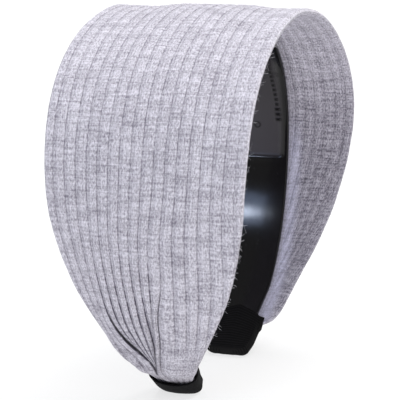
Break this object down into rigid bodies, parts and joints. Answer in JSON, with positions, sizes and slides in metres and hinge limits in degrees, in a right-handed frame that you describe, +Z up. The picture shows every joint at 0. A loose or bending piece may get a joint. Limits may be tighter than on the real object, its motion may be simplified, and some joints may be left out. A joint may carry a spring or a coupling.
{
  "type": "wide headband",
  "caption": "Wide rib-knit headband in heather grey-lavender, doubled over a black plastic hoop and gathered into black ribbon sleeves at its ends.",
  "frame": {"origin": "on the ground under the middle of the band, which stands on its two sleeved ends", "axes": "+X from the left end to the right end (ear to ear), +Y from the front rim to the back rim, +Z up to the crown"},
  "size_m": [0.1372, 0.0726, 0.1338],
  "materials": {
    "knit": "matt heather rib knit",
    "hoop_plastic": "glossy moulded black",
    "ribbon": "black grosgrain"
  },
  "bodies": {
    "root": {"cover": "knit", "hoop": "hoop_plastic", "end_wrap_left": "ribbon", "end_wrap_right": "ribbon"}
  },
  "joints": []
}
